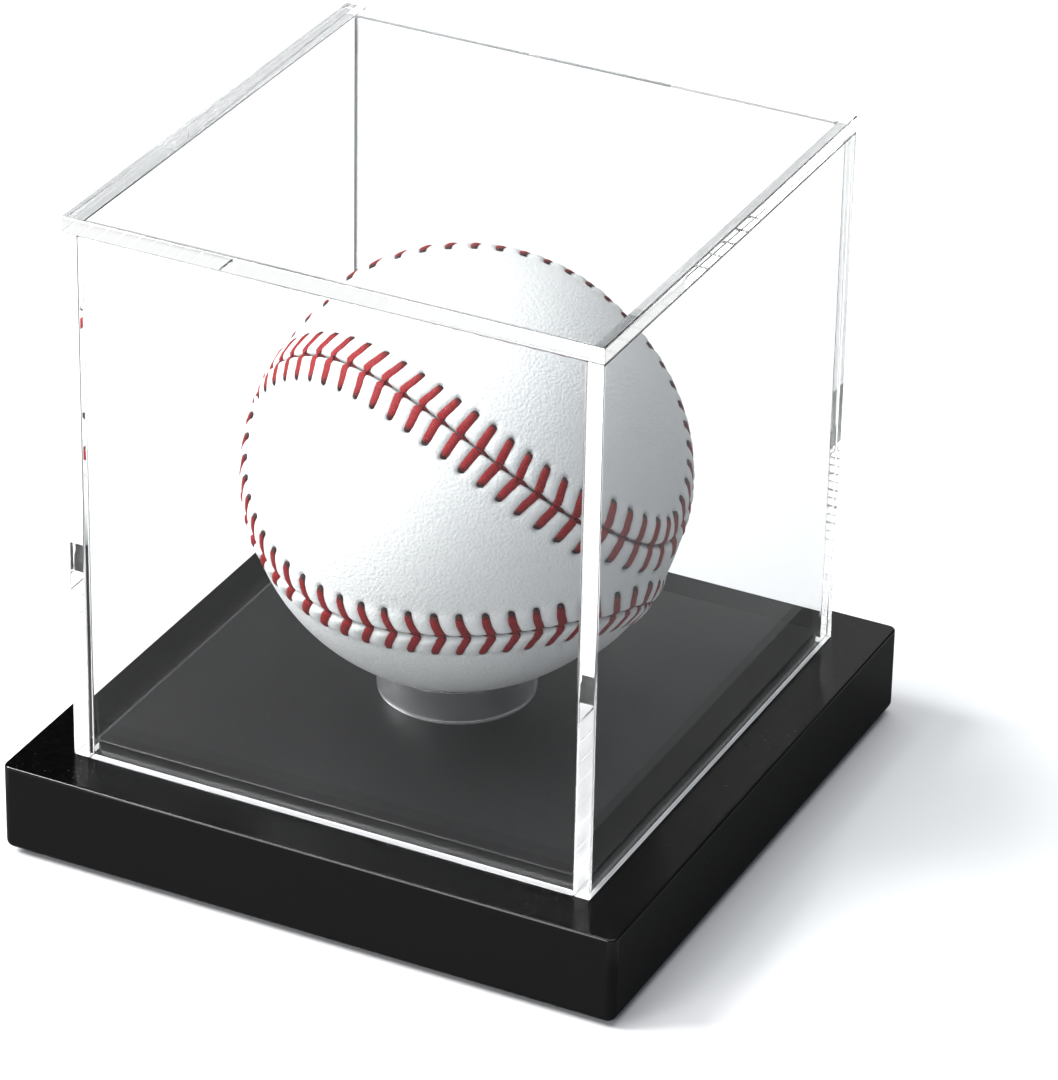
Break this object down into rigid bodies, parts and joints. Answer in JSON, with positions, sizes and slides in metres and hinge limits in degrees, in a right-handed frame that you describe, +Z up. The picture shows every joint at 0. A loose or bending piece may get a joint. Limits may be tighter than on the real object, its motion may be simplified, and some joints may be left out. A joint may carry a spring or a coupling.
{
  "type": "baseball display case",
  "caption": "Square dark base with a raised panel and a clear ring seat for a ball, under a clear box cover that lifts straight off.",
  "frame": {"origin": "bottom centre of the base, on the surface that it stands on", "axes": "+Z up; -Y is the front wall of the cover, +X its right wall"},
  "size_m": [0.116, 0.116, 0.1194],
  "materials": {
    "black_lacquer": "satin black lacquer over fibreboard",
    "riser_black": "satin black acrylic",
    "clear_acrylic": "clear cast acrylic, polished edges",
    "clear_ring": "clear acrylic tube",
    "foot_rubber": "matte",
    "white_leather": "fine pebbled grain, low sheen",
    "red_thread": "waxed cotton thread",
    "cotton_yarn": "fine yarn with a coat of adhesive",
    "grey_wool": "wound wool yarn",
    "white_wool": "wound wool yarn",
    "red_rubber": "moulded rubber",
    "black_rubber": "moulded rubber",
    "cork": "pressed cork and rubber"
  },
  "bodies": {
    "base": {"plinth": "black_lacquer", "riser_panel": "riser_black", "foot_front_left": "foot_rubber", "foot_front_right": "foot_rubber", "foot_back_left": "foot_rubber", "foot_back_right": "foot_rubber", "ball_ring": "clear_ring"},
    "cover": {"cover_front": "clear_acrylic", "cover_back": "clear_acrylic", "cover_left": "clear_acrylic", "cover_right": "clear_acrylic", "cover_top": "clear_acrylic"},
    "ball": {"leather_panel_a": "white_leather", "leather_panel_b": "white_leather", "stitching": "red_thread", "cotton_winding": "cotton_yarn", "grey_winding_outer": "grey_wool", "white_winding": "white_wool", "grey_winding_inner": "grey_wool", "red_rubber_shell": "red_rubber", "black_rubber_shell": "black_rubber", "cork_centre": "cork"}
  },
  "joints": [
    {"name": "cover_lift", "type": "slide", "parent": "base", "child": "cover", "axis": [0, 0, 1], "range_m": [0, 0.1]},
    {"name": "ball_turn", "type": "hinge", "parent": "base", "child": "ball", "pos_m": [0, 0, 0.06149], "axis": [0, 0, 1], "continuous": true}
  ]
}
